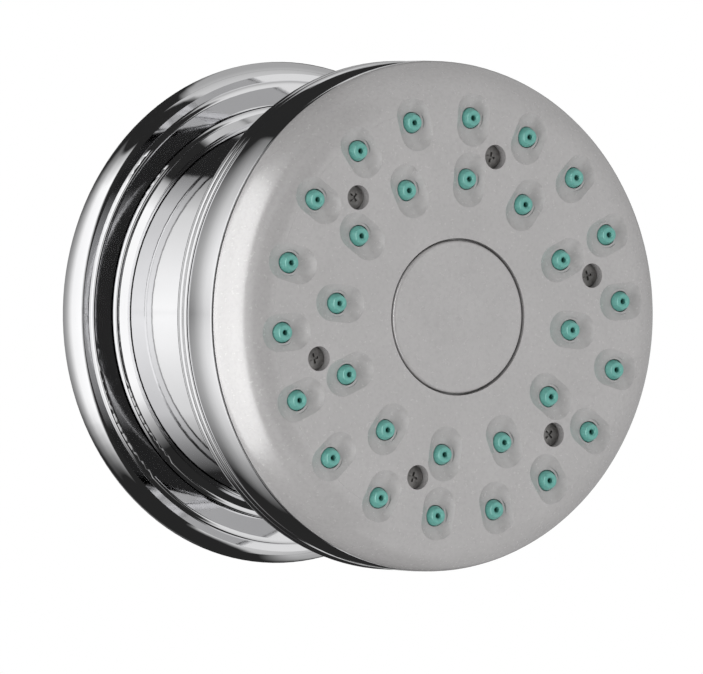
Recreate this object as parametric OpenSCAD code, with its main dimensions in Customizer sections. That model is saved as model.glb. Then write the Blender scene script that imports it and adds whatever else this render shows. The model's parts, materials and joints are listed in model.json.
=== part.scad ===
// Round shower body jet for a wall, with a head that swivels on an inner ball.
// The wall is the plane Y = 0 and the water leaves along -Y, so the face looks to -Y.
// Each turned piece is drawn as a half section: X is the radius and Y the distance
// from the wall, and spray_axis() then lays the turned piece along -Y.

/* [Wall flange] */
// Width of the flange outside its raised step
rim_land = 3.7; // [3:0.1:5.6]
// Height of the curved rim over the wall
rim_height = 3.9; // [3.5:0.1:4.3]
// Width of the curved rim, seen from the front
rim_width = 2.4; // [2:0.1:2.8]
// Radius of the rim's curve
rim_curve = 5.6; // [5:0.1:8]
// Width of the raised step, outside the neck's foot
step_width = 4.45; // [3:0.05:6]
// Rise of the step over the rim
step_rise = 1.0; // [0.6:0.1:1.4]
// Thickness of the flange between its seat and its hollow back
flange_wall = 1.4; // [1:0.1:1.6]

/* [Neck] */
// Diameter of the neck where it leaves its foot
neck_base_dia = 78.8; // [76:0.2:80]
// Diameter of the neck at its front end, inside the head
neck_end_dia = 74.2; // [72:0.2:76]
// Distance from the wall to the neck's front end
neck_end = 44.2; // [42:0.2:44.4]
// Height of the neck's foot over the wall
foot_height = 7; // [6.5:0.1:8]
// Width of the foot outside the neck
foot_width = 2.2; // [1.8:0.1:2.6]
// Gap between the foot and the flange
foot_gap = 0.35; // [0.2:0.05:0.5]
// Wall thickness of the neck
neck_wall = 2.2; // [1.6:0.1:3]
// Distance from the wall to the back of the neck's inner web
web_back = 24.5; // [23:0.5:25]
// Thickness of the neck's inner web
web_thick = 2.5; // [2:0.1:3]

/* [Inlet] */
// Major diameter of the pipe thread that screws into the wall
thread_dia = 20.955; // [20.955]
// Length of the pipe thread
thread_len = 14; // [10:0.5:18]
// Width across the flats of the inlet's hexagon
inlet_hex = 27; // [25:0.5:30]
// Length of the inlet's hexagon
inlet_hex_len = 8; // [6:0.5:10]
// Diameter of the inlet's round front end
inlet_front_dia = 26; // [24:0.5:28]
// Diameter of the water way through the inlet
inlet_way_dia = 10; // [8:0.5:11]
// Diameter of the pocket that holds the strainer and the flow restrictor
inlet_pocket_dia = 13.4; // [12.6:0.2:14]
// Depth of that pocket, from the end of the thread
inlet_pocket_len = 11; // [10:0.5:13]

/* [Ball joint] */
// Distance from the wall to the centre of the ball
pivot = 44; // [43.6:0.2:45]
// Diameter of the ball
ball_dia = 22; // [21:0.2:22.6]
// Diameter of the water way through the ball stud
stud_way_dia = 9; // [7:0.5:9]
// Diameter of the ball stud's neck
stud_neck_dia = 13; // [12.4:0.2:13.2]
// Diameter of the ball stud's threaded shank
shank_dia = 18; // [17:0.5:19]
// Depth to which the shank screws into the inlet
shank_depth = 11; // [8:0.5:12]
// Width across the flats of the ball stud's hexagonal collar
collar_hex = 24; // [23:0.5:25]
// Thickness of the ball stud's collar
collar_len = 3.5; // [3:0.1:4]
// Thickness of the washer under the collar
washer_thick = 0.8; // [0.5:0.1:1]
// Thickness of the bearing liner round the ball
liner_thick = 1.5; // [1.2:0.1:1.8]
// Running gap of the ball, the liner and the seal
ball_gap = 0.05; // [0.03:0.01:0.1]
// Cord diameter of the ball seal
seal_cord = 2.4; // [2.2:0.1:2.6]
// Angle of the ball seal round the ball, from the spray axis
seal_angle = 45; // [44:0.5:46]

/* [Head] */
// Outer diameter of the head's chrome shell
head_dia = 99.8; // [98:0.2:104]
// Distance from the ball's centre back to the shell's rear edge
shell_back = 0.6; // [0:0.1:0.6]
// Distance from the ball's centre forward to the shell's front edge
shell_front = 12.7; // [12.4:0.1:13.6]
// Distance from the ball's centre forward to the floor of the shell's recess
recess_floor = 8; // [8:0.1:8.6]
// Gap round the neck's end in the shell's recess
recess_gap = 3.4; // [2.9:0.1:6.9]
// Wall thickness of the shell
shell_wall = 1.6; // [1.2:0.1:2]
// Width of the rear one of the two beads at the shell's rear edge
rear_bead = 1.9; // [1.6:0.1:2.2]
// Width of the front one of the two beads
front_bead = 1.7; // [1.4:0.1:2]
// Width of the groove between the beads and the shell's wall
bead_groove = 1.1; // [0.8:0.1:1.4]
// Thickness of the dark gasket between the shell and the face plate
gasket_thick = 0.8; // [0.4:0.05:1]

/* [Face plate] */
// Distance from the ball's centre forward to the middle of the face
face_rise = 23; // [22.8:0.1:23.4]
// Radius of the face's slight dome
dome_radius = 800; // [600:20:1200]
// Radius of the rounded shoulder of the face
shoulder = 8.6; // [8:0.1:9]
// Thickness of the face plate at its skirt
face_wall = 2.2; // [1.8:0.1:2.4]
// Distance from the ball's centre to the flat inner side of the face plate
face_inside = 18.9; // [18.6:0.1:19]
// Diameter of the centre cap
cap_dia = 29.7; // [28:0.1:32]
// Gap round the centre cap
cap_gap = 0.45; // [0.3:0.05:0.6]
// Thickness of the centre cap
cap_thick = 2.4; // [2:0.1:2.6]

/* [Spray pattern] */
// Turn of the whole pattern about the spray axis
pattern_turn = 4; // [0:1:20]
// Distance from the head's edge to the outer nozzles
outer_margin = 11.05; // [10.9:0.05:12]
// Number of outer nozzles
outer_count = 18; // [12:6:18]
// Distance between the circles of outer and inner nozzles
ring_pitch = 11.95; // [11.5:0.05:13.85]
// Number of inner nozzles
inner_count = 12; // [6:6:12]
// Distance from the outer nozzles' circle in to the screw wells' circle
well_pitch = 6.55; // [5.85:0.05:6.9]
// Number of screw wells
well_count = 6; // [3:3:6]
// Diameter of a screw well
well_dia = 4.8; // [4.4:0.1:5]
// Diameter of a nozzle where it leaves the face plate
nozzle_dia = 3.9; // [3.6:0.1:4.2]
// Diameter of a nozzle's tip
tip_dia = 3.1; // [2.8:0.1:3.4]
// Diameter of a nozzle's outlet
orifice_dia = 1.1; // [0.8:0.1:1.4]
// Rise of a nozzle's tip over the face
tip_rise = 0.25; // [0.1:0.05:0.5]
// Gap round a nozzle in the face plate
nozzle_gap = 0.15; // [0.1:0.05:0.4]
// Length of a dimple, along the radius
dimple_len = 10.8; // [9:0.1:12]
// Width of a dimple
dimple_width = 7.3; // [6.5:0.1:8]
// Depth of a dimple
dimple_depth = 1.3; // [0.8:0.1:1.4]

/* [Water chamber] */
// Thickness of the nozzle mat
mat_thick = 1.8; // [1.5:0.1:2.2]
// Gap between the nozzle mat's edge and the inside of the face plate
mat_gap = 0.3; // [0.1:0.05:0.8]
// Width of the chamber's rim wall under the mat's edge
rim_wall = 2; // [1.5:0.1:2.2]
// Thickness of the chamber's base
base_thick = 2.5; // [2:0.1:3]
// Width of the base's ledge outside the rim wall
base_ledge = 2; // [1:0.1:2.5]
// Outer diameter of the socket behind the chamber
socket_dia = 33; // [32:0.5:34]
// Outer diameter of the socket nut
nut_dia = 40; // [38:0.5:41]
// Diameter of the flow baffle
baffle_dia = 28; // [24:0.5:32]

/* [Hidden] */

round_fn = 128;
small_fn = 48;
// Small overlap that joins or clears the pieces of one solid
eps = 0.01;

// Wall flange, from the outside in
step_round = 1.2;
flange_front = rim_height + step_rise;
foot_r = neck_base_dia / 2 + foot_width;
seat_r = foot_r + foot_gap;
step_r = seat_r + step_width;
flange_r = step_r + rim_land;
seat_depth = 1.5;
seat_height = flange_front - seat_depth;
flange_hollow = seat_height - flange_wall;
flange_bore_r = neck_base_dia / 2 - 1;
flange_back_width = 1.7;
rim_chord = sqrt(rim_width * rim_width + rim_height * rim_height);
rim_offset = sqrt(rim_curve * rim_curve - rim_chord * rim_chord / 4);
rim_centre = [
    flange_r - rim_width / 2 - rim_offset * rim_height / rim_chord,
    rim_height / 2 - rim_offset * rim_width / rim_chord
];
wall_gasket_width = 4.5;

// Neck
neck_r = neck_base_dia / 2;
neck_end_r = neck_end_dia / 2;
foot_round = 1.2;
foot_step = flange_front + 0.8;
foot_bore_r = neck_r - neck_wall;
foot_seal_cord = 1.6;
foot_seal_r = (foot_bore_r + foot_r) / 2;
groove_slack = 0.05;
end_round = 0.6;
web_front = web_back + web_thick;
shank_clearance = 0.3;

// Inlet and ball stud
thread_r = thread_dia / 2;
shank_r = shank_dia / 2;
thread_fit = 0.05;
stud_gasket_thick = 1.5;
shank_end = web_back - shank_depth;
gasket_floor = shank_end - stud_gasket_thick;
collar_back = web_front + washer_thick;
collar_front = collar_back + collar_len;
ball_r = ball_dia / 2;
liner_in = ball_r + ball_gap;
liner_out = liner_in + liner_thick;
socket_r = liner_out + ball_gap;
liner_front_angle = 62;
liner_back_angle = 129;
socket_front_angle = 53;
nut_lip_angle = 130.5;
seal_r = seal_cord / 2;
seal_ring_r = (ball_r + ball_gap + seal_r) * sin(seal_angle);
seal_ring_d = pivot + (ball_r + ball_gap + seal_r) * cos(seal_angle);
throat_gap = 0.4;
throat_r = 6.5;
strainer_thick = 2;
strainer_floor = 0.5;
strainer_inset = 0.5;
strainer_pitch = 1.6;
restrictor_thick = 4;
restrictor_floor = 2.5;
pocket_slack = 0.05;

// Head
head_r = head_dia / 2;
shell_rear = pivot - shell_back;
shell_fore = pivot + shell_front;
floor_back = pivot + recess_floor;
floor_thick = 2;
floor_front = floor_back + floor_thick;
recess_r = neck_end_r + recess_gap;
socket_out_r = socket_dia / 2;
socket_hole_r = socket_out_r + 0.2;
socket_back = pivot;
nut_front = floor_back;
nut_lip = 1.2;
nut_back = pivot + socket_r * cos(nut_lip_angle) - nut_lip;
nut_slot_r = 1.6;
lip_thick = 1.6;
edge_round = 0.5;
crown_r = 60;
crown_d = shell_fore - 3.2;
bead_sink = 0.6;
outer_wall_r = head_r - bead_sink - shell_wall;
skirt_end = shell_fore + gasket_thick;
gasket_inset = 0.7;
shell_seal_cord = 1.6;
shell_seal_r = socket_out_r + 3;

// Face plate and water chamber
face_d = pivot + face_rise;
cap_dome_steps = 4;
inside_d = pivot + face_inside;
shoulder_r = head_r - 0.1 - shoulder;
shoulder_d = skirt_end - 0.2;
mat_back = inside_d - mat_thick;
mat_r = shoulder_r - mat_gap
    + sqrt(pow(shoulder - face_wall, 2) - pow(inside_d - shoulder_d, 2));
base_front = floor_front + base_thick;
base_r = mat_r + base_ledge;
cap_r = cap_dia / 2;
well_floor = inside_d + 0.8;
screw_shank_r = 1.45;
screw_gap = 0.15;
screw_head_gap = 0.2;
screw_head_r = well_dia / 2 - screw_head_gap;
screw_head_h = 0.8;
screw_cross_len = 2;
screw_cross_width = 0.45;
screw_cross_depth = 0.35;
screw_len = 8;
boss_r = 3.4;
cap_leg_r = 12.4;
cap_leg_thick = 1.4;
cap_hook = 0.5;
cap_leg_width = 6;
cap_leg_slack = 0.2;
cap_hook_height = 0.85;
cap_legs = 3;
mat_pocket_r = 14.5;
mat_pocket = 1;
baffle_thick = 1.2;
baffle_legs = 4;
baffle_leg_r = 1.2;
baffle_lift = 1.2;
baffle_holes = 12;
outer_pcd = 2 * (head_r - outer_margin);
inner_pcd = outer_pcd - 2 * ring_pitch;
well_pcd = outer_pcd - 2 * well_pitch;
inner_phase = 360 / outer_count;
well_phase = inner_phase / 2;
nozzle_r = nozzle_dia / 2;
tip_r = tip_dia / 2;
tip_round = 0.35;
shaft_rise = 0.2;
mouth_r = 0.9;
mouth_depth = 0.25;
spot_face_r = 2.6;
spot_face_depth = 0.95;
cap_round = 0.6;
// Reach of a cut that passes right through the head
through = 20;
channel_r = 1.3;
outlet_len = 1.6;

// Height of the face over the wall at the radius r
function face_at(r) = face_d - dome_radius + sqrt(dome_radius * dome_radius - r * r);

// Lays a piece turned about Z along the spray axis
module spray_axis() {
    rotate([90, 0, 0])
        children();
}

// Turns a half section about the spray axis
module turned(fn = round_fn) {
    rotate_extrude($fn = fn)
        children();
}

// Half section of a ring from the radius r0 to r1 and from the height d0 to d1
module band(r0, r1, d0, d1) {
    translate([r0, d0])
        square([r1 - r0, d1 - d0]);
}

// Round spot in a half section
module spot(r, d, radius, fn = 96) {
    translate([r, d])
        circle(r = radius, $fn = fn);
}

// Half section of a disc whose front edge is rounded
module rounded_disc(r, d0, d1, radius) {
    band(0, r, d0, d1 - radius);
    band(0, r - radius, d0, d1);
    spot(r - radius, d1 - radius, radius);
}

// Sector of a half section round the ball, between two angles from the spray axis
module ball_sector(angle0, angle1, reach) {
    middle = (angle0 + angle1) / 2;
    translate([0, pivot])
        polygon([
            [0, 0],
            [reach * sin(angle0), reach * cos(angle0)],
            [reach * 1.5 * sin(middle), reach * 1.5 * cos(middle)],
            [reach * sin(angle1), reach * cos(angle1)]
        ]);
}

// Copies its children round the spray axis on a pitch circle
module around(count, pcd, phase) {
    for (i = [0 : count - 1])
        rotate([0, 0, pattern_turn + phase + i * 360 / count])
            translate([pcd / 2, 0, 0])
                children();
}

module at_outer() {
    around(outer_count, outer_pcd, 0)
        children();
}

module at_inner() {
    around(inner_count, inner_pcd, inner_phase)
        children();
}

module at_wells() {
    around(well_count, well_pcd, well_phase)
        children();
}

// Foam ring that seals the flange to the tiles
module wall_gasket() {
    outer = flange_r - flange_back_width - 0.3;
    color("dimgray")
        spray_axis()
            turned()
                band(outer - wall_gasket_width, outer, 0, flange_hollow);
}

// Cast flange: curved rim, raised front face and a seat for the neck's foot
module wall_flange() {
    color("gainsboro")
        spray_axis()
            turned()
                difference() {
                    union() {
                        intersection() {
                            band(0, flange_r, 0, rim_height);
                            spot(rim_centre[0], rim_centre[1], rim_curve, 240);
                        }
                        rounded_disc(step_r, 0, flange_front, step_round);
                    }
                    band(-eps, seat_r, seat_height, flange_front + 1);
                    band(-eps, flange_bore_r, -1, flange_front + 1);
                    band(-eps, flange_r - flange_back_width, -1, flange_hollow);
                }
}

// O-ring between the foot of the neck and the flange
module foot_seal() {
    color("black")
        spray_axis()
            turned()
                spot(foot_seal_r, seat_height + foot_seal_cord / 2, foot_seal_cord / 2, small_fn);
}

// Tapered drum with a foot and an inner web that the ball stud clamps
module neck() {
    web_r = foot_bore_r - (neck_r - neck_end_r) / 2;
    groove_r = foot_seal_cord / 2;
    groove_d = seat_height + groove_r;
    color("gainsboro")
        spray_axis()
            turned()
                difference() {
                    union() {
                        rounded_disc(foot_r, seat_height, foot_step, foot_round);
                        polygon([
                            [0, seat_height],
                            [foot_r - foot_round / 2, foot_step - foot_round / 2],
                            [neck_r, foot_height],
                            [neck_end_r, neck_end - end_round],
                            [neck_end_r - end_round, neck_end],
                            [0, neck_end]
                        ]);
                    }
                    polygon([
                        [0, seat_height - 1],
                        [foot_bore_r, seat_height - 1],
                        [foot_bore_r, foot_height],
                        [web_r, web_back],
                        [0, web_back]
                    ]);
                    polygon([
                        [0, web_front],
                        [web_r, web_front],
                        [neck_end_r - neck_wall, neck_end + 1],
                        [0, neck_end + 1]
                    ]);
                    band(-eps, shank_r + shank_clearance, web_back - 1, web_front + 1);
                    spot(foot_seal_r, groove_d, groove_r + groove_slack, small_fn);
                    band(foot_seal_r - groove_r, foot_seal_r + groove_r, seat_height - 1, groove_d);
                    band(-eps, foot_r + 1, 0, seat_height);
                }
}

// Brass inlet: pipe thread, hexagon and a socket for the ball stud
module inlet_body() {
    color("goldenrod")
        spray_axis()
            difference() {
                union() {
                    translate([0, 0, -thread_len])
                        cylinder(r = thread_r, h = thread_len + eps, $fn = round_fn);
                    cylinder(r = inlet_hex / sqrt(3), h = inlet_hex_len, $fn = 6);
                    cylinder(d = inlet_front_dia, h = web_back, $fn = round_fn);
                }
                translate([0, 0, -thread_len - 1])
                    cylinder(d = inlet_way_dia, h = thread_len + web_back + 2, $fn = small_fn);
                translate([0, 0, -thread_len - 1])
                    cylinder(d = inlet_pocket_dia, h = inlet_pocket_len + 1, $fn = small_fn);
                translate([0, 0, gasket_floor])
                    cylinder(r = shank_r + thread_fit, h = web_back, $fn = round_fn);
            }
}

// Perforated metal cup that keeps grit out
module inlet_strainer() {
    outer = inlet_pocket_dia / 2 - pocket_slack;
    color("silver")
        spray_axis()
            translate([0, 0, -thread_len + strainer_inset])
                difference() {
                    cylinder(r = outer, h = strainer_thick, $fn = small_fn);
                    translate([0, 0, strainer_floor])
                        cylinder(r = outer - 0.6, h = strainer_thick, $fn = small_fn);
                    for (ring = [1 : 3])
                        for (i = [0 : 6 * ring - 1])
                            rotate([0, 0, i * 60 / ring])
                                translate([ring * strainer_pitch, 0, -1])
                                    cylinder(r = 0.5, h = 3, $fn = 16);
                }
}

// Plastic puck that limits the flow, against the end of the inlet's pocket
module flow_restrictor() {
    outer = inlet_pocket_dia / 2 - pocket_slack;
    color("limegreen")
        spray_axis()
            translate([0, 0, -thread_len + inlet_pocket_len - restrictor_thick])
                difference() {
                    cylinder(r = outer, h = restrictor_thick, $fn = small_fn);
                    translate([0, 0, -1])
                        cylinder(r = outer - 1.2, h = restrictor_floor, $fn = small_fn);
                    for (i = [0 : 5])
                        rotate([0, 0, i * 60])
                            translate([2.9, 0, -1])
                                cylinder(r = 0.8, h = restrictor_thick + 2, $fn = 24);
                }
}

// Flat ring that seals the ball stud in the inlet
module stud_gasket() {
    color("black")
        spray_axis()
            turned(small_fn)
                band(inlet_way_dia / 2 + 0.2, shank_r, gasket_floor, shank_end);
}

// Fibre washer between the neck's web and the ball stud's collar
module clamp_washer() {
    color("firebrick")
        spray_axis()
            turned(small_fn)
                band(shank_r + 0.1, collar_hex / 2, web_front, collar_back);
}

// Turned stud: threaded shank, hexagonal collar, neck and ball, bored through
module ball_stud() {
    color("silver")
        spray_axis()
            difference() {
                union() {
                    translate([0, 0, shank_end])
                        cylinder(r = shank_r, h = collar_back - shank_end + eps, $fn = round_fn);
                    translate([0, 0, collar_back])
                        cylinder(r = collar_hex / sqrt(3), h = collar_len, $fn = 6);
                    translate([0, 0, collar_back])
                        cylinder(d = stud_neck_dia, h = pivot - collar_back, $fn = round_fn);
                    translate([0, 0, pivot])
                        sphere(r = ball_r, $fn = round_fn);
                }
                translate([0, 0, shank_end - 1])
                    cylinder(d = stud_way_dia, h = pivot + ball_r, $fn = small_fn);
            }
}

// Slippery bearing shell between the ball and its socket
module ball_liner() {
    color("ivory")
        spray_axis()
            turned()
                intersection() {
                    difference() {
                        spot(0, pivot, liner_out, round_fn);
                        spot(0, pivot, liner_in, round_fn);
                    }
                    ball_sector(liner_front_angle, liner_back_angle, 2 * liner_out);
                }
}

// Seal that wipes the front of the ball
module ball_seal() {
    color("black")
        spray_axis()
            turned()
                spot(seal_ring_r, seal_ring_d, seal_r, small_fn);
}

// Ring nut that holds the ball in its socket and clamps the shell to the chamber
module socket_nut() {
    color("silver")
        spray_axis()
            difference() {
                turned()
                    difference() {
                        band(socket_r * sin(nut_lip_angle), nut_dia / 2, nut_back, nut_front);
                        band(-eps, socket_out_r + thread_fit, socket_back, nut_front + 1);
                        spot(0, pivot, socket_r, round_fn);
                        polygon([
                            [0, nut_back - 1],
                            [socket_r * sin(nut_lip_angle) + 2.2, nut_back - 1],
                            [socket_r * sin(nut_lip_angle), pivot + socket_r * cos(nut_lip_angle)],
                            [0, pivot]
                        ]);
                    }
                for (i = [0 : 5])
                    rotate([0, 0, i * 60])
                        translate([nut_dia / 2, 0, nut_back - 1])
                            cylinder(r = nut_slot_r, h = 5, $fn = 24);
            }
}

// Chrome cup of the head: two beads, a groove and a slightly crowned wall outside,
// and a recess for the neck behind
module head_shell() {
    rear_r = rear_bead / 2;
    front_r = front_bead / 2;
    groove_back = shell_rear + rear_bead + front_bead;
    groove_front = groove_back + bead_groove;
    color("gainsboro")
        spray_axis()
            turned()
                difference() {
                    union() {
                        band(recess_r, head_r - rear_r, shell_rear, groove_back);
                        spot(head_r - rear_r, shell_rear + rear_r, rear_r);
                        spot(head_r - front_r, groove_back - front_r, front_r);
                        band(recess_r, head_r - bead_sink, groove_back - front_r, groove_front + eps);
                        intersection() {
                            union() {
                                band(recess_r, head_r, groove_front, shell_fore - edge_round);
                                band(recess_r, head_r - edge_round, groove_front, shell_fore);
                                spot(head_r - edge_round, shell_fore - edge_round, edge_round, small_fn);
                            }
                            spot(head_r - crown_r, crown_d, crown_r, 720);
                        }
                        band(socket_hole_r, recess_r + shell_wall, floor_back, floor_front);
                    }
                    band(recess_r + shell_wall, outer_wall_r, shell_rear + lip_thick, shell_fore + 1);
                    band(-eps, recess_r + shell_wall + 1, floor_front, shell_fore + 1);
                    band(-eps, recess_r, shell_rear - 1, floor_back);
                }
}

// O-ring that seals the shell's floor to the chamber round the socket
module shell_seal() {
    color("black")
        spray_axis()
            turned()
                spot(shell_seal_r, floor_front + shell_seal_cord / 2, shell_seal_cord / 2, small_fn);
}

// Moulded back of the water chamber, with the ball's socket behind it
module chamber_base() {
    groove_r = shell_seal_cord / 2;
    groove_d = floor_front + groove_r;
    color("dimgray")
        spray_axis()
            difference() {
                union() {
                    turned()
                        difference() {
                            union() {
                                band(0, base_r, floor_front, base_front);
                                band(0, socket_out_r, socket_back, base_front);
                                band(mat_r - rim_wall, mat_r, floor_front, mat_back);
                            }
                            spot(0, pivot, ball_r + throat_gap, round_fn);
                            intersection() {
                                spot(0, pivot, socket_r, round_fn);
                                ball_sector(socket_front_angle, 100, 2 * socket_r);
                            }
                            spot(seal_ring_r, seal_ring_d, seal_r + ball_gap, small_fn);
                            band(-eps, throat_r, pivot, base_front + 1);
                            band(-eps, base_r, socket_back - 1, socket_back);
                            spot(shell_seal_r, groove_d, groove_r + groove_slack, small_fn);
                            band(
                                shell_seal_r - groove_r, shell_seal_r + groove_r,
                                floor_front - 1, groove_d
                            );
                        }
                    at_wells()
                        translate([0, 0, floor_front + 1])
                            cylinder(r = boss_r, h = mat_back - floor_front - 1, $fn = small_fn);
                }
                at_wells()
                    translate([0, 0, well_floor - screw_len - 0.5])
                        cylinder(r = screw_shank_r + thread_fit, h = through, $fn = small_fn);
            }
}

// Perforated disc on legs that spreads the water from the throat
module flow_baffle() {
    color("whitesmoke")
        spray_axis()
            translate([0, 0, base_front])
                difference() {
                    union() {
                        translate([0, 0, baffle_lift])
                            cylinder(d = baffle_dia, h = baffle_thick, $fn = small_fn);
                        for (i = [0 : baffle_legs - 1])
                            rotate([0, 0, i * 360 / baffle_legs])
                                translate([baffle_dia / 2 - 2, 0, 0])
                                    cylinder(r = baffle_leg_r, h = baffle_lift + 0.5, $fn = 24);
                    }
                    for (i = [0 : baffle_holes - 1])
                        rotate([0, 0, (i + 0.5) * 360 / baffle_holes])
                            translate([baffle_dia / 2 - 4, 0, baffle_lift - 1])
                                cylinder(r = 1, h = baffle_thick + 2, $fn = 24);
                }
}

// One nozzle, from the front of the mat to its tip, at the height of the face there
module nozzle(pcd) {
    tip = face_at(pcd / 2) + tip_rise;
    turned(small_fn) {
        polygon([
            [0, inside_d - eps],
            [nozzle_r, inside_d - eps],
            [nozzle_r, face_at(pcd / 2) - dimple_depth + shaft_rise],
            [tip_r, tip - tip_round],
            [tip_r - tip_round, tip],
            [0, tip]
        ]);
        spot(tip_r - tip_round, tip - tip_round, tip_round, small_fn);
    }
}

// Water way through the mat and one nozzle
module nozzle_way(pcd) {
    tip = face_at(pcd / 2) + tip_rise;
    translate([0, 0, tip - outlet_len - 0.5])
        cylinder(d = orifice_dia, h = outlet_len + 1, $fn = 24);
    translate([0, 0, mat_back - 1])
        cylinder(r = channel_r, h = tip - outlet_len - mat_back + 1, $fn = 24);
    translate([0, 0, tip - mouth_depth])
        cylinder(
            r1 = orifice_dia / 2,
            r2 = 2 * mouth_r - orifice_dia / 2,
            h = 2 * mouth_depth,
            $fn = 24
        );
}

// One silicone moulding with all the nozzles
module nozzle_mat() {
    color("mediumaquamarine")
        spray_axis()
            difference() {
                union() {
                    translate([0, 0, mat_back])
                        cylinder(r = mat_r, h = mat_thick, $fn = round_fn);
                    at_outer()
                        nozzle(outer_pcd);
                    at_inner()
                        nozzle(inner_pcd);
                }
                at_outer()
                    nozzle_way(outer_pcd);
                at_inner()
                    nozzle_way(inner_pcd);
                at_wells()
                    translate([0, 0, mat_back - 1])
                        cylinder(r = screw_shank_r + screw_gap, h = mat_thick + 2, $fn = small_fn);
                translate([0, 0, inside_d - mat_pocket])
                    cylinder(r = mat_pocket_r, h = mat_pocket + 1, $fn = round_fn);
            }
}

// Oval hollow round a nozzle, the cut of a round bar with ball ends
module dimple(pcd) {
    half = dimple_width / 2;
    bar_r = (half * half + dimple_depth * dimple_depth) / (2 * dimple_depth);
    reach = (dimple_len - dimple_width) / 2;
    slope = asin(pcd / 2 / dome_radius);
    translate([0, 0, face_at(pcd / 2) + bar_r - dimple_depth])
        rotate([0, slope, 0]) {
            rotate([0, 90, 0])
                cylinder(r = bar_r, h = 2 * reach, center = true, $fn = 96);
            for (side = [-1, 1])
                translate([side * reach, 0, 0])
                    sphere(r = bar_r, $fn = 96);
        }
}

// Dimple for one nozzle, with a spot face and a hole in it
module nozzle_seat(pcd) {
    dimple(pcd);
    translate([0, 0, face_at(pcd / 2) - spot_face_depth])
        cylinder(r = spot_face_r, h = through, $fn = small_fn);
    translate([0, 0, inside_d - 1])
        cylinder(r = nozzle_r + nozzle_gap, h = through, $fn = small_fn);
}

// Screw well, and the hole for the screw under it
module screw_well() {
    translate([0, 0, well_floor])
        cylinder(d = well_dia, h = through, $fn = small_fn);
    translate([0, 0, inside_d - 1])
        cylinder(r = screw_shank_r + screw_gap, h = through, $fn = small_fn);
}

// Slots for the legs of the centre cap
module cap_slots() {
    slot_width = cap_leg_width + 2 * cap_leg_slack;
    slot_back = cap_leg_r - cap_leg_thick - cap_leg_slack;
    for (i = [0 : cap_legs - 1])
        rotate([0, 0, i * 360 / cap_legs])
            translate([slot_back, -slot_width / 2, inside_d - 1])
                cube([cap_leg_thick + cap_hook + 2 * cap_leg_slack, slot_width, 4]);
}

// Half section of the face plate before its holes: dome, shoulder and skirt
module face_section() {
    difference() {
        intersection() {
            union() {
                band(0, shoulder_r, skirt_end, face_d);
                spot(shoulder_r, shoulder_d, shoulder, 180);
            }
            spot(0, face_d - dome_radius, dome_radius, 1440);
        }
        band(-eps, shoulder_r, shoulder_d - through, inside_d);
        intersection() {
            spot(shoulder_r, shoulder_d, shoulder - face_wall, 180);
            band(-eps, head_r, shoulder_d - through, inside_d);
        }
        band(-eps, head_r + 1, shoulder_d - through, skirt_end);
        band(-eps, cap_r + cap_gap, face_d - cap_thick, face_d + 1);
    }
}

// Satin face with dimples, nozzle holes, screw wells and a seat for the cap
module face_plate() {
    color("darkgray")
        spray_axis()
            difference() {
                turned()
                    face_section();
                at_outer()
                    nozzle_seat(outer_pcd);
                at_inner()
                    nozzle_seat(inner_pcd);
                at_wells()
                    screw_well();
                cap_slots();
            }
}

// Dark ring in the joint between the shell and the face plate
module rim_gasket() {
    color("black")
        spray_axis()
            turned()
                band(outer_wall_r + 0.1, head_r - gasket_inset, shell_fore, skirt_end);
}

// Pan-head screws at the bottom of the wells
module face_screws() {
    color("silver")
        spray_axis()
            at_wells()
                translate([0, 0, well_floor])
                    difference() {
                        union() {
                            cylinder(r = screw_head_r, h = screw_head_h, $fn = small_fn);
                            translate([0, 0, -screw_len])
                                cylinder(r = screw_shank_r, h = screw_len + eps, $fn = small_fn);
                        }
                        for (turn = [0, 90])
                            rotate([0, 0, turn])
                                translate([
                                    -screw_cross_len / 2,
                                    -screw_cross_width / 2,
                                    screw_head_h - screw_cross_depth
                                ])
                                    cube([screw_cross_len, screw_cross_width, 1]);
                    }
}

// Snap leg of the centre cap, with a hook under the face plate
module cap_leg() {
    hook_top = inside_d - 0.05;
    hook_end = hook_top - cap_hook_height;
    translate([0, cap_leg_width / 2, 0])
        rotate([90, 0, 0])
            linear_extrude(cap_leg_width)
                polygon([
                    [cap_leg_r - cap_leg_thick, face_d - cap_thick + eps],
                    [cap_leg_r, face_d - cap_thick + eps],
                    [cap_leg_r, hook_top],
                    [cap_leg_r + cap_hook, hook_top],
                    [cap_leg_r, hook_end],
                    [cap_leg_r - cap_leg_thick, hook_end]
                ]);
}

// Half section of the cap's disc: the face's dome and a rounded edge
module cap_section() {
    flat_r = cap_r - cap_round;
    polygon([
        [0, face_d - cap_thick],
        for (i = [0 : cap_dome_steps])
            [flat_r * i / cap_dome_steps, face_at(flat_r * i / cap_dome_steps)],
        [flat_r, face_d - cap_thick]
    ]);
    band(0, cap_r, face_d - cap_thick, face_at(flat_r) - cap_round);
    spot(flat_r, face_at(flat_r) - cap_round, cap_round, small_fn);
}

// Flush satin cap with snap legs
module centre_cap() {
    color("darkgray")
        spray_axis() {
            turned()
                cap_section();
            for (i = [0 : cap_legs - 1])
                rotate([0, 0, i * 360 / cap_legs])
                    cap_leg();
        }
}

wall_gasket();
wall_flange();
neck();
foot_seal();
inlet_body();
inlet_strainer();
flow_restrictor();
stud_gasket();
clamp_washer();
ball_stud();
ball_liner();
ball_seal();
socket_nut();
head_shell();
shell_seal();
chamber_base();
flow_baffle();
nozzle_mat();
face_plate();
rim_gasket();
face_screws();
centre_cap();
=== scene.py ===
import json
import math

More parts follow.
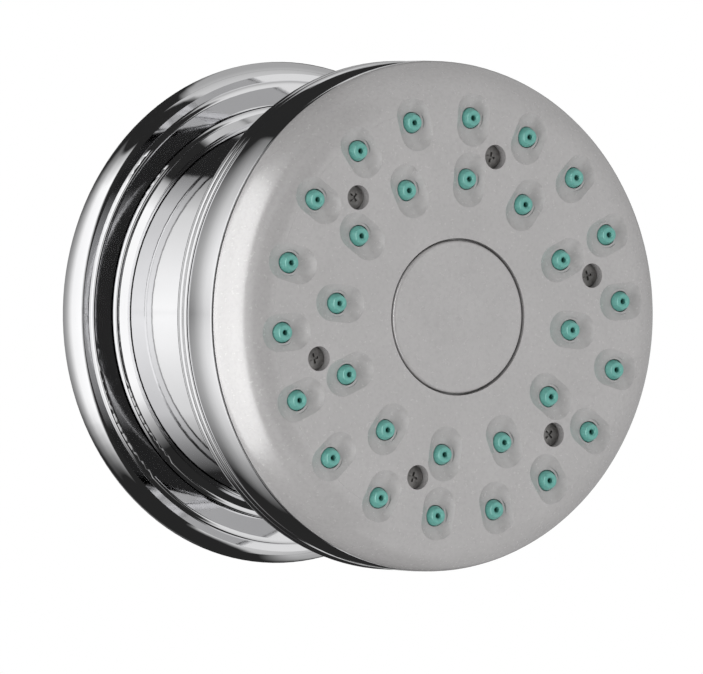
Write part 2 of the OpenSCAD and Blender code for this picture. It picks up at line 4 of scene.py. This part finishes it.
import bpy
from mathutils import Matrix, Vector


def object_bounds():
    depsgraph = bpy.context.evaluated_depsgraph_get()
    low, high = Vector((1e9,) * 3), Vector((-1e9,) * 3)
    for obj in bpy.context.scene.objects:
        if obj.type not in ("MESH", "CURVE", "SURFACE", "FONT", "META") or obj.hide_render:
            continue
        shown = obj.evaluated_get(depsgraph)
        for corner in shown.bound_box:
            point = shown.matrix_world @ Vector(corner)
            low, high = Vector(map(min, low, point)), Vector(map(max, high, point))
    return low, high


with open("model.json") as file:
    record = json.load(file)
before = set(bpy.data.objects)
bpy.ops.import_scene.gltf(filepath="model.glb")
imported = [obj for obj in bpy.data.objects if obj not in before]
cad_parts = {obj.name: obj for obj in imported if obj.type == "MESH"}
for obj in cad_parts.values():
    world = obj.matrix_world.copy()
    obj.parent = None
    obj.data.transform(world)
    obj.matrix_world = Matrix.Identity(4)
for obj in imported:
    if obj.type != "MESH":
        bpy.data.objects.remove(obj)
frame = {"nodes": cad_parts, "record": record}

# Lengths are metres and colours are linear, as in the frame and in Blender
MICRON = 0.000001
CAD_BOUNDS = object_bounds()
NODES = frame["nodes"]

# The foremost point of all: the middle of the face, on the spray axis
FACE_FRONT = CAD_BOUNDS[0][1]

# Most values of a noise texture lie between these
NOISE_LOW = 0.3
NOISE_HIGH = 0.7


class Tree:
    """Short names for building a node tree."""

    def __init__(self, tree):
        self.tree = tree
        tree.nodes.clear()

    def add(self, kind, **values):
        node = self.tree.nodes.new(kind)
        for key, value in values.items():
            setattr(node, key, value)
        return node

    def link(self, source, target):
        self.tree.links.new(source, target)

    def feed(self, target, given):
        """Links a socket to a target, or sets a number or a colour on it."""
        if hasattr(given, "node"):
            self.link(given, target)
        elif isinstance(given, tuple):
            target.default_value = (*given, 1.0)
        else:
            target.default_value = given

    def math(self, operation, first, second=0.0):
        node = self.add("ShaderNodeMath", operation=operation)
        self.feed(node.inputs[0], first)
        self.feed(node.inputs[1], second)
        return node.outputs[0]

    def remap(self, value, start, end, low=0.0, high=1.0, kind="LINEAR"):
        """Brings the range from start to end on the range from low to high."""
        node = self.add("ShaderNodeMapRange", interpolation_type=kind)
        self.link(value, node.inputs["Value"])
        node.inputs["From Min"].default_value = start
        node.inputs["From Max"].default_value = end
        node.inputs["To Min"].default_value = low
        node.inputs["To Max"].default_value = high
        return node.outputs["Result"]

    def spread(self, noise, low=0.0, high=1.0):
        """Spreads the middle of a noise over the range from low to high."""
        return self.remap(noise, NOISE_LOW, NOISE_HIGH, low, high)

    def ramp(self, value, stops):
        """A colour or grey ramp, each stop a place from 0 to 1 and its tone."""
        node = self.add("ShaderNodeValToRGB")
        elements = node.color_ramp.elements
        while len(elements) > 1:
            elements.remove(elements[-1])
        for i, (place, tone) in enumerate(stops):
            if not isinstance(tone, tuple):
                tone = (tone, tone, tone)
            element = elements[0] if i == 0 else elements.new(place)
            element.position = place
            element.color = (*tone, 1.0)
        self.link(value, node.inputs["Fac"])
        return node.outputs["Color"]

    def mix(self, share, first, second, blend="MIX"):
        node = self.add("ShaderNodeMix", data_type="RGBA", blend_type=blend)
        self.feed(node.inputs["Factor"], share)
        self.feed(node.inputs["A"], first)
        self.feed(node.inputs["B"], second)
        return node.outputs["Result"]


# The materials


class Look:
    """A material with one Principled shader, in the object's own coordinates."""

    def __init__(self, name, **sockets):
        self.material = bpy.data.materials.new(name)
        self.material.use_nodes = True
        self.tree = Tree(self.material.node_tree)
        self.shader = self.tree.add("ShaderNodeBsdfPrincipled")
        surface = self.tree.add("ShaderNodeOutputMaterial").inputs["Surface"]
        self.tree.link(self.shader.outputs["BSDF"], surface)
        for key, value in sockets.items():
            self.tree.feed(self.shader.inputs[key.replace("_", " ")], value)
        self.place = self.tree.add("ShaderNodeTexCoord").outputs["Object"]

    def texture(self, kind, scale, **values):
        """A texture node whose pattern repeats about scale times in a metre."""
        node = self.tree.add(kind, **values)
        self.tree.link(self.place, node.inputs["Vector"])
        node.inputs["Scale"].default_value = scale
        return node

    def noise(self, scale, detail=3.0, roughness=0.5, distortion=0.0):
        node = self.texture("ShaderNodeTexNoise", scale)
        node.inputs["Detail"].default_value = detail
        node.inputs["Roughness"].default_value = roughness
        node.inputs["Distortion"].default_value = distortion
        return node.outputs["Fac"]

    def mottled(self, noise, light, dark):
        """A colour that wavers from light to dark with a noise."""
        return self.tree.mix(self.tree.spread(noise), light, dark)

    def colour(self, source):
        self.tree.link(source, self.shader.inputs["Base Color"])

    def rough(self, noise, smoothest, roughest):
        """A roughness that wavers with a noise."""
        source = self.tree.spread(noise, smoothest, roughest)
        self.tree.link(source, self.shader.inputs["Roughness"])

    def relief(self, height, depth, strength=1.0):
        """Bumps as high as depth."""
        node = self.tree.add("ShaderNodeBump")
        self.tree.link(height, node.inputs["Height"])
        node.inputs["Distance"].default_value = depth
        node.inputs["Strength"].default_value = strength
        self.tree.link(node.outputs["Normal"], self.shader.inputs["Normal"])


def chrome():
    look = Look("chrome", Metallic=1.0)
    cloud = look.noise(scale=60.0, detail=4.0)
    look.colour(look.mottled(cloud, light=(0.88, 0.88, 0.89), dark=(0.84, 0.84, 0.85)))
    smears = look.noise(scale=350.0, detail=6.0, roughness=0.7)
    look.rough(smears, 0.02, 0.06)
    look.relief(look.noise(scale=900.0, detail=2.0), 1.2 * MICRON)
    return look


def satin():
    """Bead-blasted metal: a pale grey with a fine speckle."""
    look = Look("satin_face", Specular_IOR_Level=1.0)
    grain = look.noise(scale=1500.0, detail=4.0, roughness=0.6)
    cloud = look.noise(scale=90.0)
    tone = look.mottled(cloud, light=(0.385, 0.375, 0.374), dark=(0.36, 0.351, 0.35))
    speckle = look.tree.ramp(grain, [(NOISE_LOW, 0.92), (0.5, 1.0), (NOISE_HIGH, 1.04)])
    look.colour(look.tree.mix(1.0, tone, speckle, "MULTIPLY"))
    look.rough(look.noise(scale=1200.0, detail=4.0, roughness=0.6), 0.215, 0.285)
    look.relief(grain, 3.0 * MICRON, strength=0.6)
    return look


def silicone():
    look = Look("silicone", Specular_IOR_Level=0.8)
    cloud = look.noise(scale=500.0, detail=4.0, roughness=0.6)
    look.colour(
        look.mottled(cloud, light=(0.092, 0.325, 0.28), dark=(0.118, 0.375, 0.325))
    )
    look.rough(look.noise(scale=2200.0), 0.3, 0.42)
    look.relief(look.noise(scale=3500.0, detail=2.0), 8.0 * MICRON)
    return look


def metal(name, light, dark, rough, rings, depth):
    """Turned or plated metal with fine rings of tool marks and a mottled tone."""
    look = Look(name, Metallic=1.0)
    cloud = look.noise(scale=220.0, detail=5.0, roughness=0.65)
    look.colour(look.mottled(cloud, light, dark))
    look.rough(look.noise(scale=700.0, detail=5.0, roughness=0.7), *rough)
    marks = look.texture(
        "ShaderNodeTexWave", scale=rings, wave_type="BANDS", bands_direction="Y"
    )
    marks.inputs["Distortion"].default_value = 0.6
    marks.inputs["Detail"].default_value = 2.0
    look.relief(marks.outputs["Fac"], depth)
    return look


def plastic(name, light, dark, rough):
    """Moulded plastic or rubber with a fine skin grain."""
    look = Look(name, Specular_IOR_Level=0.5)
    cloud = look.noise(scale=160.0, detail=4.0, roughness=0.6)
    look.colour(look.mottled(cloud, light, dark))
    look.rough(look.noise(scale=900.0, detail=4.0, roughness=0.6), *rough)
    look.relief(look.noise(scale=1500.0), 12.0 * MICRON)
    return look


def foam():
    """Closed-cell foam: small round pits, their bottoms painted darker as painted shade.
    """
    look = Look("foam", Specular_IOR_Level=0.2)
    pits = look.texture("ShaderNodeTexVoronoi", scale=1400.0, feature="SMOOTH_F1")
    pit_hollow_and_shade = pits.outputs["Distance"]
    # The colour is darker at the bottom of each pit: painted shade in the pits
    look.colour(
        look.tree.ramp(pit_hollow_and_shade, [(0.1, (0.02, 0.02, 0.021)), (0.6, (0.06, 0.06, 0.062))])
    )
    look.rough(pit_hollow_and_shade, 0.7, 0.95)
    look.relief(pit_hollow_and_shade, 120.0 * MICRON)
    return look


def fibre():
    """Pressed fibre: red-brown, with short threads."""
    look = Look("fibre", Specular_IOR_Level=0.3)
    threads = look.noise(scale=1100.0, detail=6.0, roughness=0.8, distortion=1.5)
    look.colour(
        look.tree.ramp(threads, [(0.35, (0.16, 0.03, 0.02)), (0.65, (0.42, 0.11, 0.07))])
    )
    look.rough(threads, 0.65, 0.85)
    look.relief(threads, 40.0 * MICRON)
    return look


# Each material slot of the record, with its look
LOOKS = {
    "chrome": chrome(),
    "satin_face": satin(),
    "silicone": silicone(),
    "brass": metal(
        "brass",
        light=(0.78, 0.57, 0.27),
        dark=(0.68, 0.47, 0.2),
        rough=(0.22, 0.36),
        rings=900.0,
        depth=6.0 * MICRON,
    ),
    "plated_brass": metal(
        "plated_brass",
        light=(0.72, 0.7, 0.66),
        dark=(0.62, 0.6, 0.57),
        rough=(0.16, 0.28),
        rings=900.0,
        depth=4.0 * MICRON,
    ),
    "steel": metal(
        "steel",
        light=(0.4, 0.39, 0.38),
        dark=(0.16, 0.155, 0.15),
        rough=(0.35, 0.6),
        rings=1500.0,
        depth=4.0 * MICRON,
    ),
    "black_rubber": plastic(
        "black_rubber",
        light=(0.012, 0.012, 0.012),
        dark=(0.02, 0.02, 0.02),
        rough=(0.5, 0.7),
    ),
    "bearing_plastic": plastic(
        "bearing_plastic",
        light=(0.8, 0.77, 0.69),
        dark=(0.74, 0.71, 0.63),
        rough=(0.3, 0.42),
    ),
    "dark_plastic": plastic(
        "dark_plastic",
        light=(0.018, 0.018, 0.02),
        dark=(0.03, 0.03, 0.032),
        rough=(0.38, 0.52),
    ),
    "pale_plastic": plastic(
        "pale_plastic",
        light=(0.66, 0.66, 0.64),
        dark=(0.6, 0.6, 0.58),
        rough=(0.35, 0.5),
    ),
    "green_plastic": plastic(
        "green_plastic",
        light=(0.02, 0.3, 0.07),
        dark=(0.015, 0.24, 0.055),
        rough=(0.2, 0.32),
    ),
    "foam": foam(),
    "fibre": fibre(),
}

for entry in frame["record"]["subparts"]:
    slots = NODES[entry["node"]].data.materials
    slots.clear()
    slots.append(LOOKS[entry["material_slot"]].material)


# The camera

AZIMUTH = math.radians(-31.57)
ELEVATION = math.radians(1.0)
DISTANCE = 1.9425
PIXELS_PER_METRE = 5148.0
IMAGE = (703, 674)
# Where the middle of the face lies in the photograph, in pixels
FACE_PIXEL = (458.5, 316.9)
SENSOR = 36.0
FARTHEST_SEEN = 20.0

back = Vector(
    (
        math.sin(AZIMUTH) * math.cos(ELEVATION),
        -math.cos(AZIMUTH) * math.cos(ELEVATION),
        math.sin(ELEVATION),
    )
)
right = Vector((math.cos(AZIMUTH), math.sin(AZIMUTH), 0.0))
up = back.cross(right)
aim = (
    Vector((0.0, FACE_FRONT, 0.0))
    - right * (FACE_PIXEL[0] - IMAGE[0] / 2) / PIXELS_PER_METRE
    + up * (FACE_PIXEL[1] - IMAGE[1] / 2) / PIXELS_PER_METRE
)

scene = bpy.context.scene
camera_data = bpy.data.cameras.new("camera")
camera_data.sensor_width = SENSOR
camera_data.lens = SENSOR * PIXELS_PER_METRE * DISTANCE / IMAGE[0]
camera_data.clip_end = FARTHEST_SEEN
camera = bpy.data.objects.new("camera", camera_data)
scene.collection.objects.link(camera)
camera.location = aim + back * DISTANCE
camera.rotation_mode = "QUATERNION"
camera.rotation_quaternion = (-back).to_track_quat("-Z", "Y")
scene.camera = camera


# The studio round the part, a world that only mirroring rays see in full

scene.view_settings.view_transform = "Standard"

world = bpy.data.worlds.new("studio")
scene.world = world
world.use_nodes = True
sky = Tree(world.node_tree)
split = sky.add("ShaderNodeSeparateXYZ")
sky.link(sky.add("ShaderNodeTexCoord").outputs["Generated"], split.inputs[0])

# A direction's parts: across to the object's right, depth to behind it, and height
across, depth, height = split.outputs
off_middle = sky.math("ABSOLUTE", depth)
off_level = sky.math("ABSOLUTE", height)


def blend(*shares):
    """The sum of a direction's parts, each times its share."""
    total = 0.0
    for part, share in shares:
        total = sky.math("ADD", total, sky.math("MULTIPLY", part, share))
    return total


def rise(value, low, high):
    """0 up to low, 1 from high on, smooth between them."""
    return sky.remap(value, low, high, kind="SMOOTHSTEP")


def fall(value, low, high):
    """1 up to low, 0 from high on, smooth between them."""
    return sky.math("SUBTRACT", 1.0, rise(value, low, high))


def graded(value, low, high, stops):
    """A grey ramp over the values from low to high, each stop a value and its tone."""
    places = [((place - low) / (high - low), tone) for place, tone in stops]
    return sky.ramp(sky.remap(value, low, high), places)


def product(first, *others):
    for other in others:
        first = sky.math("MULTIPLY", first, other)
    return first


def brightest(first, *others):
    for other in others:
        first = sky.math("MAXIMUM", first, other)
    return first


# The strip light at the object's left, seen in the neck and in the head's wall
STRIP_LIGHT = 1.1
STRIP_FADE = [
    (-0.3, 1.0),
    (-0.13, 0.98),
    (-0.11, 0.88),
    (-0.05, 0.7),
    (0.0, 0.52),
    (0.12, 0.2),
    (0.2, 0.0),
]
STRIP_TALL = [(0.0, 1.0), (0.2, 0.91), (0.5, 0.69), (0.65, 0.45), (0.8, 0.09), (0.9, 0.0)]
# It fades over its width and its height and ends at two slanting edges. It stands once
# behind the part and once before it.
strip_width = blend((across, 0.766), (off_middle, 0.442), (off_level, -0.466))
strip_foot = blend((across, -0.7415), (off_middle, 0.3383), (height, -0.5796))
strip_side = blend((across, -0.809), (off_middle, 0.588))
strip = product(
    STRIP_LIGHT,
    graded(strip_width, -0.4, 0.4, STRIP_FADE),
    graded(off_level, 0.0, 1.0, STRIP_TALL),
    rise(strip_foot, -0.015, 0.015),
    rise(strip_side, -0.01, 0.02),
    brightest(
        rise(depth, 0.6, 0.68),
        product(rise(depth, -0.88, -0.84), fall(depth, -0.74, -0.7)),
    ),
)

# The large soft box at the left and before: its turn is 0 at the left, -0.25 before
BOX_LIGHT = 1.15
BOX_WIDE = [
    (-0.12, 0.0),
    (-0.108, 1.0),
    (-0.01, 0.92),
    (0.023, 0.7),
    (0.051, 0.48),
    (0.08, 0.35),
    (0.1, 0.26),
    (0.12, 0.14),
    (0.15, 0.0),
]
BOX_TALL = [(-0.88, 0.0), (-0.6, 0.9), (-0.5, 1.0), (0.7, 1.0), (0.84, 0.45), (0.87, 0.0)]
angle = sky.math("ARCTAN2", depth, sky.math("MULTIPLY", across, -1.0))
turn = sky.math("MULTIPLY", angle, 1 / (2 * math.pi))
box = product(
    BOX_LIGHT,
    graded(turn, -0.2, 0.2, BOX_WIDE),
    graded(height, -1.0, 1.0, BOX_TALL),
)

# The pale room at the right. Behind the part it shows above, below and in a window,
# and before the part over its whole height.
ROOM_TONE = [
    (-1.0, 0.82),
    (-0.6, 0.75),
    (-0.16, 0.58),
    (0.3, 0.42),
    (0.8, 0.4),
    (0.9, 0.5),
]
above = product(
    rise(blend((across, 1.0), (height, 0.9)), 0.8, 0.92), rise(height, 0.0, 0.1)
)
below = product(
    rise(blend((across, 1.0), (height, -0.25)), 0.6, 0.76), fall(height, 0.0, 0.1)
)
window = product(
    rise(depth, 0.78, 0.82), rise(across, 0.44, 0.48), fall(off_level, 0.12, 0.2)
)
behind = product(brightest(above, below, window), rise(depth, -0.02, 0.02))
before = product(
    rise(blend((across, 1.0), (depth, 0.55)), -0.22, -0.1),
    fall(depth, -0.02, 0.02),
    rise(height, -0.96, -0.92),
)
room = product(graded(depth, -1.0, 1.0, ROOM_TONE), brightest(behind, before))

# Mirroring rays see the lights, rough surfaces an even grey, the camera plain white
DARK = 0.022
EVEN_GREY = (0.8, 0.8, 0.8)
WHITE = (1.0, 1.0, 1.0)
light = brightest(room, strip, box, DARK)
mirrored = sky.add("ShaderNodeCombineColor")
for socket in mirrored.inputs[:3]:
    sky.link(light, socket)
rays = sky.add("ShaderNodeLightPath")
lit = sky.mix(rays.outputs["Is Glossy Ray"], EVEN_GREY, mirrored.outputs[0])
seen = sky.mix(rays.outputs["Is Camera Ray"], lit, WHITE)
background = sky.add("ShaderNodeBackground")
sky.link(seen, background.inputs["Color"])
surface = sky.add("ShaderNodeOutputWorld").inputs["Surface"]
sky.link(background.outputs[0], surface)


# The lamps

# The point that they face, by the ball's centre
MIDDLE = Vector((0.0, -0.04, 0.0))


def lamp(name, place, size, watts):
    """A soft box that lights the part and isn't mirrored in it."""
    data = bpy.data.lights.new(name, "AREA")
    data.shape = "RECTANGLE"
    data.size, data.size_y = size
    data.energy = watts
    made = bpy.data.objects.new(name, data)
    scene.collection.objects.link(made)
    made.location = place
    made.rotation_mode = "QUATERNION"
    made.rotation_quaternion = (MIDDLE - Vector(place)).to_track_quat("-Z", "Y")
    made.visible_glossy = False
    return made


lamp("key", place=(-0.9, -0.55, -0.3), size=(0.7, 0.9), watts=4.0)
lamp("fill", place=(0.5, -1.1, -0.35), size=(0.8, 0.8), watts=2.4)

# A panel at the left that only the face and its nozzles mirror: it lights their left sides
sheen = lamp("sheen", place=(-0.5, 0.01, 0.0), size=(0.96, 1.16), watts=15.5)
sheen.visible_glossy = True
sheen.visible_diffuse = False
face_only = bpy.data.collections.new("face_only")
for name in ("face_plate", "centre_cap", "nozzle_mat"):
    face_only.objects.link(NODES[name])
sheen.light_linking.receiver_collection = face_only


# The floor, well below the part and not mirrored in it

FLOOR_HEIGHT = -0.6
FLOOR_HALF = 3.0
corners = [
    (-FLOOR_HALF, -FLOOR_HALF, 0.0),
    (FLOOR_HALF, -FLOOR_HALF, 0.0),
    (FLOOR_HALF, FLOOR_HALF, 0.0),
    (-FLOOR_HALF, FLOOR_HALF, 0.0),
]
floor_mesh = bpy.data.meshes.new("floor")
floor_mesh.from_pydata(corners, [], [(0, 1, 2, 3)])
floor_look = Look("floor", Base_Color=(0.86, 0.86, 0.86), Roughness=0.9)
floor_mesh.materials.append(floor_look.material)
floor = bpy.data.objects.new("floor", floor_mesh)
floor.location = (0.0, 0.0, FLOOR_HEIGHT)
scene.collection.objects.link(floor)
floor.visible_glossy = False
